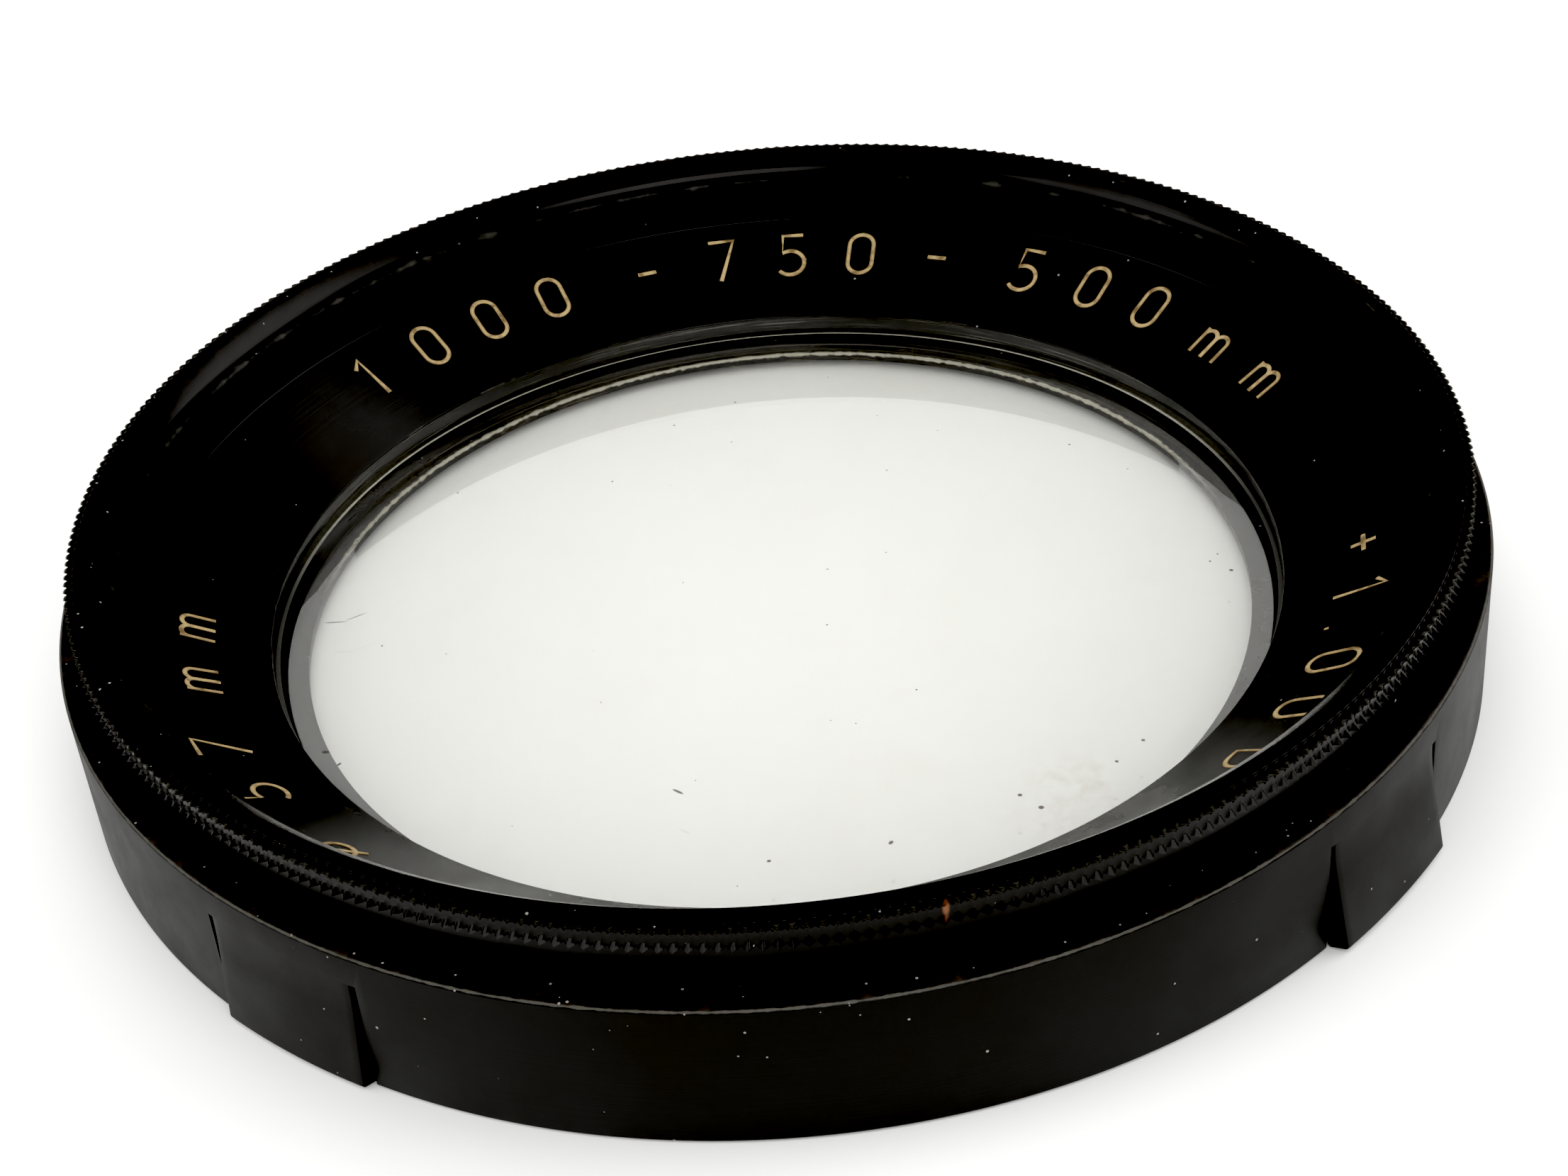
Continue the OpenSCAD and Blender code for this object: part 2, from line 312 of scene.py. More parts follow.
def make_settled_dust():
    """Grains of dust of two sizes and a thin mottled film, both thickest on faces that look up."""
    group, entry, result = new_group("settled dust", {
        "Place": "NodeSocketVector",
        "Normal": "NodeSocketVector",
        "Amount": "NodeSocketFloat",
    }, ["Dust", "Film"])
    upward = component(group, entry["Normal"], 2)
    lying = fade(group, upward, -0.1, 0.9, 0.12, 1.0)
    amount = calc(group, "MULTIPLY", entry["Amount"], lying)
    grains = []
    for spacing, largest, crowd in ((0.32 * mm, 0.2, 0.3), (1.5 * mm, 0.06, 0.35)):
        inputs = {"Vector": entry["Place"], "Scale": 1 / spacing}
        cells = add_node(group, "ShaderNodeTexVoronoi", inputs).outputs
        chance = add_node(group, "ShaderNodeSeparateColor", {0: cells["Color"]}).outputs
        present = calc(group, "LESS_THAN", chance[0], calc(group, "MULTIPLY", amount, crowd))
        size = calc(group, "MULTIPLY", chance[1], largest)
        inside = fade(group, calc(group, "SUBTRACT", size, cells["Distance"]), 0.0, 0.03)
        grains.append(calc(group, "MULTIPLY", present, inside))
    group.links.new(calc(group, "MAXIMUM", grains[0], grains[1]), result["Dust"])
    mottle = fade(group, noise(group, entry["Place"], 0.8 * mm, 6, 0.7), 0.35, 0.75)
    film = calc(group, "MULTIPLY", fade(group, upward, 0.5, 0.98), mottle)
    group.links.new(calc(group, "MULTIPLY", film, entry["Amount"]), result["Film"])
    return group


def make_turning_marks_and_glints():
    """Fine marks that run round the piece, left by the lathe tool under the lacquer. Height is their
    relief; Painted glint is the tops of the marks, where pale colour is painted on as streaky glints
    of light.
    """
    group, entry, result = new_group("turning marks and glints", {
        "Place": "NodeSocketVector",
        "Spacing": "NodeSocketFloat",
    }, ["Height", "Painted glint"])
    across = calc(group, "DIVIDE", radius_at(group, entry["Place"]), entry["Spacing"])
    along = calc(group, "DIVIDE", component(group, entry["Place"], 2), entry["Spacing"])
    drift_x = calc(group, "DIVIDE", component(group, entry["Place"], 0), 6 * mm)
    drift_y = calc(group, "DIVIDE", component(group, entry["Place"], 1), 6 * mm)
    lines = add_node(group, "ShaderNodeCombineXYZ", {
        0: calc(group, "ADD", across, drift_x),
        1: along,
        2: drift_y,
    }).outputs[0]
    inputs = {"Vector": lines, "Scale": 1.0, "Detail": 2.0}
    marks = add_node(group, "ShaderNodeTexNoise", inputs).outputs[0]
    group.links.new(marks, result["Height"])
    group.links.new(fade(group, marks, 0.58, 0.72), result["Painted glint"])
    return group


edge_wear_and_highlight = make_edge_wear_and_highlight()
settled_dust = make_settled_dust()
turning_marks_and_glints = make_turning_marks_and_glints()
# Y places between which the painted highlights and glints inside the cell and the pale painted rim of
# the glass fade in, so that they lie on the far side only.
painted_light_side = (2 * mm, 12 * mm)


def black_lacquer(name, black, edges, dust, painted_glints=0.0, polish=0.16,
                  rubbed_and_highlight_to=(0.12, 0.115, 0.1), nick=None, painted_light_from=None, ior=1.36):
    """Black stove lacquer on brass: edges worn thin, dust, greasy smears and faint lathe marks, with
    pale streaky glints of light painted along the marks.

    Each edge is (radius, height, width, patches); on some pieces the edge line is painted pale as a
    highlight. A nick is the place of a knock down to the brass. painted_light_from is the pair of y
    places between which the edge lines and the painted glints fade in on one side, so that these
    painted highlights lie only on the far side.
    """
    finish, tree, shader, place = new_finish(name)
    normal = add_node(tree, "ShaderNodeNewGeometry").outputs["Normal"]
    wear_and_highlight = None
    for radius, height, width, patches in edges:
        inputs = {"Place": place, "Radius": radius, "Height": height}
        inputs.update({"Width": width, "Patches": patches})
        wear_and_highlight_line = use_group(tree, edge_wear_and_highlight, inputs)["Wear"]
        wear_and_highlight = wear_and_highlight_line if wear_and_highlight is None else calc(tree, "MAXIMUM", wear_and_highlight, wear_and_highlight_line)
    inputs = {"Place": place, "Normal": normal, "Amount": dust}
    dusty = use_group(tree, settled_dust, inputs)
    grains = dusty["Dust"]
    marks = use_group(tree, turning_marks_and_glints, {"Place": place, "Spacing": 0.09 * mm})
    # Pale streaky lines painted along the lathe marks: painted glints of light.
    painted_glint = calc(tree, "MULTIPLY", marks["Painted glint"], painted_glints)
    # Painted light: the edge lines and glints fade in only on the far side, where the light catches
    # them.
    if painted_light_from:
        on_painted_light_side = fade(tree, component(tree, place, 1), *painted_light_from)
        wear_and_highlight = calc(tree, "MULTIPLY", wear_and_highlight, on_painted_light_side)
        painted_glint = calc(tree, "MULTIPLY", painted_glint, on_painted_light_side)
    smear = noise(tree, place, 7 * mm, 5, 0.62)
    brownish = (black[0] * 2.0, black[1] * 1.8, black[2] * 1.5, 1)
    colour = mix_colours(tree, fade(tree, smear, 0.35, 0.8), (*black, 1), brownish)
    # Painted glints: pale colour laid along the lathe marks.
    colour = mix_colours(tree, painted_glint, colour, (0.33, 0.32, 0.27, 1))
    colour = mix_colours(tree, dusty["Film"], colour, (0.04, 0.033, 0.026, 1))
    # Edges worn thin, and on some pieces pale lines painted there as highlights of light.
    colour = mix_colours(tree, wear_and_highlight, colour, (*rubbed_and_highlight_to, 1))
    if nick:
        knocked = oval_spot(tree, place, nick, 0, (0.17 * mm, 0.4 * mm, 0.5 * mm), 0.6)
        colour = mix_colours(tree, knocked, colour, (0.22, 0.09, 0.04, 1))
    colour = mix_colours(tree, grains, colour, (0.28, 0.27, 0.245, 1))
    tree.links.new(colour, shader.inputs["Base Color"])
    rough = fade(tree, smear, 0.3, 0.75, polish, polish + 0.16)
    rough = calc(tree, "ADD", rough, calc(tree, "MULTIPLY", wear_and_highlight, 0.2))
    rough = calc(tree, "ADD", rough, calc(tree, "MULTIPLY", grains, 0.6))
    rough = calc(tree, "ADD", rough, calc(tree, "MULTIPLY", dusty["Film"], 0.3))
    tree.links.new(rough, shader.inputs["Roughness"])
    tree.links.new(calc(tree, "MULTIPLY", wear_and_highlight, 0.7), shader.inputs["Metallic"])
    ripple = calc(tree, "ADD", noise(tree, place, 1.2 * mm, 2), marks["Height"])
    lumps = calc(tree, "ADD", ripple, calc(tree, "MULTIPLY", grains, 3.0))
    raise_grain(tree, shader, lumps, 0.35, 0.006 * mm)
    shader.inputs["IOR"].default_value = ior
    return finish


collar_lacquer = black_lacquer(
    "collar lacquer",
    black=(0.003, 0.0028, 0.0024),
    edges=[
        (collar_r - edge_break / 2, ledge_z - edge_break / 2, 0.075 * mm, 0.72),
        (collar_r, 0.0, 0.14 * mm, 0.42),
        (bore_r, 0.0, 0.14 * mm, 0.42),
    ],
    dust=0.9,
    polish=0.38,
)
collar.data.materials.append(collar_lacquer)
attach(collar, "collar")
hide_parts("collar")


# ---------------------------------------------------------------- Spring tongues
# Four strips of the collar's own wall, set free by the saw cuts and bent a little outwards so
# that they grip the barrel. Each bends smoothly at its root, where it is still one with the
# collar. The one at the right has been used most and stands out furthest.
tongue_w = 6.8 * mm
tongue_low_z = 0.1 * mm
wall_mid_r = (bore_r + collar_r) / 2
bend_length = 1.6 * mm
bend_steps = 8
tongue_flares = (5.5, 5.5, 5.5, 10.5)


def beside_saw_cut(one, other):
    """True for the upright edges of a tongue, along the saw cuts on its two sides."""
    aside = abs(abs(one.y) - tongue_w / 2) + abs(abs(other.y) - tongue_w / 2)
    return aside < 0.002 * mm and abs(one.z - other.z) > 0.05 * mm


for number, (place, flare) in enumerate(zip(tongue_places, tongue_flares), 1):
    bend_rows = [cut_top_z - bend_length * step / bend_steps for step in range(bend_steps + 1)]
    outline = [(collar_r, row) for row in bend_rows]
    outline += [(collar_r, tongue_low_z), (bore_r, tongue_low_z)]
    outline += [(bore_r, row) for row in reversed(bend_rows)]
    tongue = draw_outline(f"tongue_plate_{number}", outline)
    break_corners(tongue, edge_break, lambda place: place.z < tongue_low_z + 0.01 * mm)
    bpy.ops.mesh.select_all(action="SELECT")
    bpy.ops.mesh.spin(steps=20, angle=math.radians(-20), center=(0, 0, 0), axis=(0, 0, 1))
    bpy.ops.object.mode_set(mode="OBJECT")
    tongue.rotation_euler.z = math.radians(-10)
    bpy.ops.object.transform_apply(rotation=True)
    bpy.ops.object.mode_set(mode="EDIT")
    for side in (-1, 1):
        bpy.ops.mesh.select_all(action="SELECT")
        bpy.ops.mesh.bisect(
            plane_co=(0, side * tongue_w / 2, 0),
            plane_no=(0, side, 0),
            use_fill=True,
            clear_outer=True,
        )
    choose_edges(tongue, beside_saw_cut)
    bpy.ops.mesh.bevel(offset=small_break, segments=2, affect="EDGES")
    bpy.ops.mesh.select_mode(type="VERT")
    for row in bend_rows[:-1]:
        below = row - bend_length / bend_steps / 2
        choose_points(tongue, lambda place: place.z < below)
        bpy.ops.transform.rotate(
            value=math.radians(flare / bend_steps),
            orient_axis="Y",
            center_override=(wall_mid_r, 0, row),
        )
    close_shell(tongue)
    tongue.rotation_euler.z = math.radians(place)
    bpy.ops.object.transform_apply(rotation=True)
    tongue.data.materials.append(collar_lacquer)
    out = Matrix.Rotation(math.radians(place), 3, "Z") @ Vector((wall_mid_r, 0, 0))
    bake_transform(tongue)
    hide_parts(f"spring_tongue_{number}")


# ---------------------------------------------------------------- Lens cell
# Turned brass cup that carries everything optical. Outside it has a straight knurl of 357 teeth
# that runs up over the rounded rim, a plain band and a threaded spigot. Inside it has the seat
# of the glass, the shoulder of the name ring and the groove of the snap ring.
cell_low_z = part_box("lens_cell")[0].z
rim_top_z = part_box("lens_cell")[1].z
rim_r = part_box("lens_cell")[1].x
glass_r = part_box("glass_element")[1].x
ring_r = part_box("name_ring")[1].x
ring_top_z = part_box("name_ring")[1].z
ring_low_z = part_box("name_ring")[0].z
tooth_count = 357
tooth_depth = 0.28 * mm
tooth_angle = math.tau / tooth_count
ridge_shares = ((0.25, 0.5), (0.5, 1.0), (0.75, 0.5))
root_r = rim_r - tooth_depth
band_r = rim_r - 0.3 * mm
shoulder_z = ledge_z + 0.05 * mm
thread_r = band_r - 0.7 * mm
thread_depth = 0.26 * mm
spigot_z = flange_z - 0.5 * mm
crown_z = rim_top_z - 0.26 * mm
knurl_z = crown_z - 0.84 * mm
crown_in_r = rim_r - 0.5 * mm
rim_in_r = crown_in_r - 0.5 * mm
knurl_foot_z = knurl_z + 0.02 * mm
cell_bore_r = ring_r + 0.05 * mm
groove_r = cell_bore_r + 0.35 * mm
groove_top_z = ring_top_z + 0.6 * mm
neck_r = ring_r - 0.8 * mm
spigot_in_r = neck_r + 0.6 * mm
neck_z = ring_top_z - 2.15 * mm
web_t = 0.85 * mm
web_high_z = neck_z - 0.759 * mm
cup_in_r = glass_r + 0.8 * mm
web_low_z = web_high_z - 1.749 * mm
seat_z = cell_low_z + 0.45 * mm
seat_in_r = glass_r - 2.1 * mm
cup_top_z = ring_low_z - 0.15 * mm
glass_bore_r = glass_r + 0.05 * mm
cup_r = glass_bore_r + 1.25 * mm

crown = []
for step in range(1, 6):
    angle = math.radians(90 * step / 6)
    crown.append((
        crown_in_r + (root_r - crown_in_r) * math.cos(angle),
        crown_z + (rim_top_z - crown_z) * math.sin(angle),
    ))

cell = draw_outline("cell_body", [
    (seat_in_r, cell_low_z),
    (cup_r, cell_low_z),
    (cup_r, web_low_z - web_t),
    (spigot_in_r, web_high_z - web_t),
    (spigot_in_r, spigot_z),
    (thread_r - thread_depth, spigot_z),
    (thread_r - thread_depth, shoulder_z),
    (band_r, shoulder_z),
    (band_r, knurl_z),
    (root_r, knurl_foot_z),
    (root_r, crown_z),
    *crown,
    (crown_in_r, rim_top_z),
    (rim_in_r, rim_top_z),
    (cell_bore_r + 0.1 * mm, groove_top_z + 0.3 * mm),
    (cell_bore_r, groove_top_z + 0.1 * mm),
    (cell_bore_r, groove_top_z),
    (groove_r, groove_top_z),
    (groove_r, ring_top_z),
    (cell_bore_r, ring_top_z),
    (cell_bore_r, neck_z),
    (neck_r, neck_z),
    (neck_r, web_high_z),
    (cup_in_r, web_low_z),
    (cup_in_r, cup_top_z),
    (glass_bore_r, cup_top_z),
    (glass_bore_r, seat_z),
    (seat_in_r, seat_z),
])


def off_the_knurl(place):
    """True for the corners of the cell's outline that aren't on the teeth."""
    return place.x < crown_in_r - 0.1 * mm or place.z < knurl_z - 0.01 * mm


def runs_round_knurl(one, other):
    """True for the edges that run round the knurl, from one side of a tooth to the other."""
    level = abs(one.z - other.z) < tiny and abs(radius_of(one) - radius_of(other)) < tiny
    return level and one.z > knurl_z and radius_of(one) > crown_in_r - 0.01 * mm


break_corners(cell, 0.04 * mm, off_the_knurl)
bpy.ops.mesh.select_all(action="SELECT")
bpy.ops.mesh.spin(steps=1, angle=-tooth_angle, center=(0, 0, 0), axis=(0, 0, 1))
choose_edges(cell, runs_round_knurl)
bpy.ops.mesh.subdivide(number_cuts=3)
bpy.ops.mesh.select_mode(type="VERT")
for height in [knurl_foot_z, crown_z] + [point[1] for point in crown]:
    fading = max(0, height - crown_z) / (rim_top_z - crown_z)
    for column, share in ridge_shares:
        ridge = tooth_depth * share * (1 - fading ** 3)

        def on_ridge(place):
            turned = math.atan2(place.y, place.x) / tooth_angle
            return abs(turned - column) < 0.1 and abs(place.z - height) < tiny

        choose_points(cell, lambda place: on_ridge(place) and radius_of(place) > crown_in_r)
        grown = 1 + ridge / root_r
        bpy.ops.transform.resize(value=(grown, grown, 1), center_override=(0, 0, 0))
bpy.ops.mesh.select_all(action="SELECT")
bpy.ops.mesh.spin(
    steps=tooth_count - 1,
    angle=tooth_angle - math.tau,
    dupli=True,
    center=(0, 0, 0),
    axis=(0, 0, 1),
)
close_shell(cell)

thread_pitch = 0.5 * mm
thread_turns = 3
crest_w = 0.06 * mm
root_w = 0.4 * mm
thread_z = spigot_z + 0.25 * mm
thread = draw_outline("cell_thread", [
    (thread_r - thread_depth - 0.1 * mm, thread_z),
    (thread_r - thread_depth, thread_z - root_w / 2),
    (thread_r, thread_z - crest_w / 2),
    (thread_r, thread_z + crest_w / 2),
    (thread_r - thread_depth, thread_z + root_w / 2),
])
bpy.ops.object.mode_set(mode="OBJECT")
wind = thread.modifiers.new("wind", "SCREW")
wind.axis = "Z"
wind.screw_offset = thread_pitch
wind.iterations = thread_turns
wind.steps = 120
wind.render_steps = 120
bpy.ops.object.modifier_apply(modifier=wind.name)
bpy.ops.object.mode_set(mode="EDIT")
bpy.ops.mesh.select_all(action="SELECT")
bpy.ops.mesh.fill_holes(sides=5)
close_shell(thread)
cell.select_set(True)
bpy.context.view_layer.objects.active = cell
bpy.ops.object.join()

cell_lacquer = black_lacquer(
    "cell lacquer",
    black=(0.0042, 0.0038, 0.0032),
    edges=[
        (band_r, shoulder_z, 0.08 * mm, 0.62),
        # The lacquer is worn on the crests of the teeth where the knurl meets the crown. It is painted
        # pale there to stand in for the row of glints of light along them: partly worn lacquer, partly
        # painted highlight.
        (rim_r - 0.02 * mm, crown_z, 0.3 * mm, 0.7),
        (rim_in_r, rim_top_z, 0.06 * mm, 0.36),
        (cell_bore_r, groove_top_z, 0.05 * mm, 0.42),
        (cell_bore_r, ring_top_z, 0.04 * mm, 0.36),
    ],
    dust=0.35,
    rubbed_and_highlight_to=(0.1, 0.096, 0.082),
    nick=(4.44 * mm, -28.1 * mm, 8.6 * mm),
)
# Lacquer inside the cell and on the lip of the name ring. Its pale seat line and pale streaky lines
# are painted highlights and glints of light, laid on the far side only.
seat_lacquer_with_painted_light = black_lacquer(
    "seat lacquer with painted light",
    black=(0.006, 0.0055, 0.0045),
    edges=[
        # Painted highlight: a pale line on the inner edge of the seat, standing for a bright arc of
        # light there.
        (seat_in_r, seat_z, 0.22 * mm, 0.9),
    ],
    dust=0.2,
    painted_glints=0.22,
    polish=0.12,
    rubbed_and_highlight_to=(0.55, 0.53, 0.45),
    painted_light_from=painted_light_side,
    ior=1.55,
)
satin_lacquer = black_lacquer(
    "satin lacquer",
    black=(0.003, 0.0028, 0.0024),
    edges=[(band_r, shoulder_z, 0.08 * mm, 0.62)],
    dust=0.35,
    polish=0.2,
)
for finish in (cell_lacquer, seat_lacquer_with_painted_light, satin_lacquer):
    cell.data.materials.append(finish)
for face in cell.data.polygons:
    if radius_of(face.center) < glass_bore_r - 0.02 * mm and face.center.z > cell_low_z + 0.05 * mm:
        face.material_index = 1
    if radius_of(face.center) > thread_r and face.center.z < knurl_z:
        face.material_index = 2
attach(cell, "cell")
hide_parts("lens_cell")


# ---------------------------------------------------------------- Glass
# Weak meniscus of crown glass, ground and polished: convex towards the subject and hollow
# towards the camera. Its front edge has a bevel and its rim is fine-ground, so both look frosted.
# The frosted faces are painted pale only on the far side and near black elsewhere: painted light and
# shade.
front_z = seat_z + 1.68 * mm
bevel_w = 0.9 * mm
bevel_h = 0.36 * mm
frosted_w = 0.35 * mm
front_r = glass_r - bevel_w
rear_r = glass_r - 1.3 * mm
front_curve = 150 * mm
rear_curve = 210 * mm
arc_steps = 20


def polished_face(edge_r, edge_z, curve):
    """Points of a polished face, from the axis out to its edge."""
    drop = curve - math.sqrt(curve ** 2 - edge_r ** 2)
    points = []
    for step in range(arc_steps + 1):
        radius = edge_r * step / arc_steps
        sag = curve - math.sqrt(curve ** 2 - radius ** 2)
        points.append((radius, edge_z + drop - sag))
    return points


rear_face = polished_face(rear_r, seat_z, rear_curve)
front_face = polished_face(front_r, front_z, front_curve)
edge = [(glass_r, seat_z), (glass_r, front_z - bevel_h)]
glass = draw_outline("lens_glass", rear_face + edge + front_face[::-1], closed=False)
turn_on_lathe(glass, 240)

clear_glass, tree, shader, place = new_finish("optical glass")
shader.inputs["Transmission Weight"].default_value = 1.0
shader.inputs["IOR"].default_value = 1.52
normal = add_node(tree, "ShaderNodeNewGeometry").outputs["Normal"]
smudge_place = (10.5 * mm, -16.4 * mm, front_z)
inputs = {0: place, 1: smudge_place}
away = add_node(tree, "ShaderNodeVectorMath", inputs, operation="DISTANCE").outputs[1]
touched = fade(tree, away, 1 * mm, 4 * mm, 1.0, 0.0)
smudge = calc(tree, "MULTIPLY", touched, fade(tree, noise(tree, place, 1.1 * mm, 5, 0.7), 0.42, 0.7))
amount = fade(tree, smudge, 0.0, 1.0, 0.03, 0.5)
grains = use_group(tree, settled_dust, {"Place": place, "Normal": normal, "Amount": amount})["Dust"]
on_front = fade(tree, component(tree, place, 2), front_z - 0.2 * mm, front_z - 0.1 * mm)
# Crumbs, a scratch and hairs on the front: place and half size in millimetres, turn in degrees.
lint = [
    (-1.3, -18.1, 0.09, 0.07, 0),
    (3.25, -17.8, 0.12, 0.08, 40),
    (8.3, -15.9, 0.1, 0.08, 0),
    (9.0, -16.6, 0.12, 0.1, 0),
    (12.2, -14.4, 0.08, 0.07, 0),
    (13.4, -13.3, 0.09, 0.07, 0),
    (18.9, -2.8, 0.1, 0.08, 0),
    (-4.5, -14.0, 0.28, 0.06, -40),
    (-18.7, 0.2, 0.55, 0.03, -14),
    (-17.8, 0.3, 0.5, 0.025, 16),
    (-18.5, -8.4, 0.2, 0.09, -20),
    (-17.9, -9.3, 0.12, 0.06, 30),
    (-18.6, 8.6, 0.5, 0.035, 60),
    (-18.3, 9.2, 0.3, 0.035, 10),
]
for x, y, length, width, turn in lint:
    speck = oval_spot(tree, place, (x * mm, y * mm, 0), turn, (length * mm, width * mm, 1), 0.7)
    grains = calc(tree, "MAXIMUM", grains, calc(tree, "MULTIPLY", speck, on_front))
smear = noise(tree, place, 5 * mm, 6, 0.7)
colour = mix_colours(tree, fade(tree, smear, 0.5, 0.8), (0.985, 0.985, 0.97, 1), (0.95, 0.95, 0.92, 1))
colour = mix_colours(tree, smudge, colour, (0.86, 0.83, 0.78, 1))
colour = mix_colours(tree, grains, colour, (0.06, 0.05, 0.04, 1))
tree.links.new(colour, shader.inputs["Base Color"])
rough = calc(tree, "MULTIPLY", fade(tree, smear, 0.55, 0.8), 0.03)
rough = calc(tree, "ADD", rough, calc(tree, "MULTIPLY", grains, 0.5))
tree.links.new(rough, shader.inputs["Roughness"])
through = add_node(tree, "ShaderNodeBsdfTransparent", {"Color": (0.84, 0.84, 0.82, 1)})
path = add_node(tree, "ShaderNodeLightPath").outputs["Is Shadow Ray"]
both = add_node(tree, "ShaderNodeMixShader", {0: path, 1: shader.outputs[0], 2: through.outputs[0]})
tree.links.new(both.outputs[0], tree.nodes["Material Output"].inputs["Surface"])

ground_glass, tree, shader, place = new_finish("ground glass")
grit = noise(tree, place, 0.25 * mm, 4, 0.7)
colour = mix_colours(tree, fade(tree, grit, 0.3, 0.7), (0.45, 0.44, 0.38, 1), (0.72, 0.7, 0.6, 1))
# Painted light and shade: the frosted rim is pale only on the far side and near black elsewhere.
painted_lit_side = fade(tree, component(tree, place, 1), *painted_light_side)
colour = mix_colours(tree, painted_lit_side, (0.09, 0.088, 0.08, 1), colour)
tree.links.new(colour, shader.inputs["Base Color"])
tree.links.new(fade(tree, grit, 0.3, 0.7, 0.45, 0.75), shader.inputs["Roughness"])
raise_grain(tree, shader, grit, 0.5, 0.01 * mm)

glass.data.materials.append(clear_glass)
glass.data.materials.append(ground_glass)
for face in glass.data.polygons:
    if radius_of(face.center) > front_r - frosted_w:
        face.material_index = 1
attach(glass, "optic")
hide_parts("glass_element")


# ---------------------------------------------------------------- Name ring
# Dished brass ring, lacquered black, that holds the glass on its seat. Its lip stands upright
# round the opening, and its thin outer wall reaches up under the snap ring.
opening_r = glass_r - 0.7 * mm
lip_top_z = ring_low_z + 1.0 * mm
dish_r = ring_r - 0.55 * mm
dish_top_z = lip_top_z + 2.65 * mm
dish_slope = (dish_top_z - lip_top_z) / (dish_r - opening_r)
ring_foot_r = opening_r + 1.4 * mm
ring_neck_r = ring_r - 0.85 * mm
dish_t = 1.0 * mm

ring = draw_outline("name_ring_dish", [
    (opening_r, ring_low_z),
    (ring_foot_r, ring_low_z),
    (ring_foot_r, lip_top_z + (ring_foot_r - opening_r) * dish_slope - dish_t),
    (ring_neck_r, lip_top_z + (ring_neck_r - opening_r) * dish_slope - dish_t),
    (ring_neck_r, dish_top_z - 0.5 * mm),
    (ring_r, dish_top_z - 0.5 * mm),
    (ring_r, ring_top_z),
    (dish_r, ring_top_z),
    (dish_r, dish_top_z),
    (opening_r, lip_top_z),
])
break_corners(ring, small_break)
turn_on_lathe(ring, 360)
ring.data.materials.append(black_lacquer(
    "ring lacquer",
    black=(0.0036, 0.0033, 0.0028),
    edges=[
        (opening_r, lip_top_z, 0.07 * mm, 0.4),
        (dish_r, ring_top_z, 0.045 * mm, 0.36),
        (opening_r, ring_low_z, 0.12 * mm, 0.6),
    ],
    dust=0.05,
    polish=0.2,
))
ring.data.materials.append(seat_lacquer_with_painted_light)
for face in ring.data.polygons:
    if radius_of(face.center) < opening_r + 0.005 * mm:
        face.material_index = 1
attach(ring, "cell")
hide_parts("name_ring")


# ---------------------------------------------------------------- Snap ring
# Split ring of blued spring wire, sprung into the groove inside the rim to hold the name ring
# down. Its two ends stop ten degrees apart at the right.
wire_r = 0.3 * mm
wire_mid_r = groove_r - wire_r - 0.025 * mm
wire_z = ring_top_z + wire_r
snap_place = -23
snap_gap = 10

bpy.ops.object.select_all(action="DESELECT")
bpy.ops.mesh.primitive_circle_add(
    vertices=16,
    radius=wire_r,
    fill_type="NGON",
    location=(wire_mid_r, 0, wire_z),
    rotation=(math.pi / 2, 0, 0),
)
wire = bpy.context.object
wire.name = "snap_wire"
wire.data.name = "snap_wire"
bpy.ops.object.transform_apply(location=True, rotation=True)
bpy.ops.object.mode_set(mode="EDIT")
bpy.ops.mesh.select_all(action="SELECT")
bpy.ops.mesh.spin(steps=350, angle=math.radians(snap_gap - 360), center=(0, 0, 0), axis=(0, 0, 1))
close_shell(wire)
wire.rotation_euler.z = math.radians(snap_place)
bpy.ops.object.transform_apply(rotation=True)

blued_wire, tree, shader, place = new_finish("blued wire")
normal = add_node(tree, "ShaderNodeNewGeometry").outputs["Normal"]
mottle = noise(tree, place, 1.5 * mm, 5, 0.65)
grains = use_group(tree, settled_dust, {"Place": place, "Normal": normal, "Amount": 0.4})["Dust"]
bare = fade(tree, mottle, 0.45, 0.7)
colour = mix_colours(tree, bare, (0.01, 0.01, 0.01, 1), (0.04, 0.038, 0.033, 1))
colour = mix_colours(tree, grains, colour, (0.2, 0.19, 0.17, 1))
tree.links.new(colour, shader.inputs["Base Color"])
tree.links.new(fade(tree, mottle, 0.4, 0.7, 0.9, 0.3), shader.inputs["Metallic"])
tree.links.new(fade(tree, mottle, 0.3, 0.7, 0.25, 0.5), shader.inputs["Roughness"])
raise_grain(tree, shader, mottle, 0.3, 0.01 * mm)
wire.data.materials.append(blued_wire)
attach(wire, "cell")
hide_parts("snap_ring")


# ---------------------------------------------------------------- Engraving
# Pale gold paint wiped into figures engraved round the dish: three working distances in
# millimetres, the power of the glass in dioptres, and the bore. Each stroke is one cut of a
# round tool; its colour is paler along its middle and darker towards its edges.
figure_h = 2.3 * mm
stroke_w = 0.27 * mm
paint_rise = 0.02 * mm
figure_r = opening_r + 2.1 * mm
figure_z = lip_top_z + (figure_r - opening_r) * dish_slope


def bow(x, y, radius, start, end):
    """Points of a round stroke about (x, y), from one angle to another."""
    count = max(6, round(abs(end - start) / 12))
    angles = [math.radians(start + (end - start) * step / count) for step in range(count + 1)]
    return [(x + radius * math.cos(a), y + radius * math.sin(a)) for a in angles]


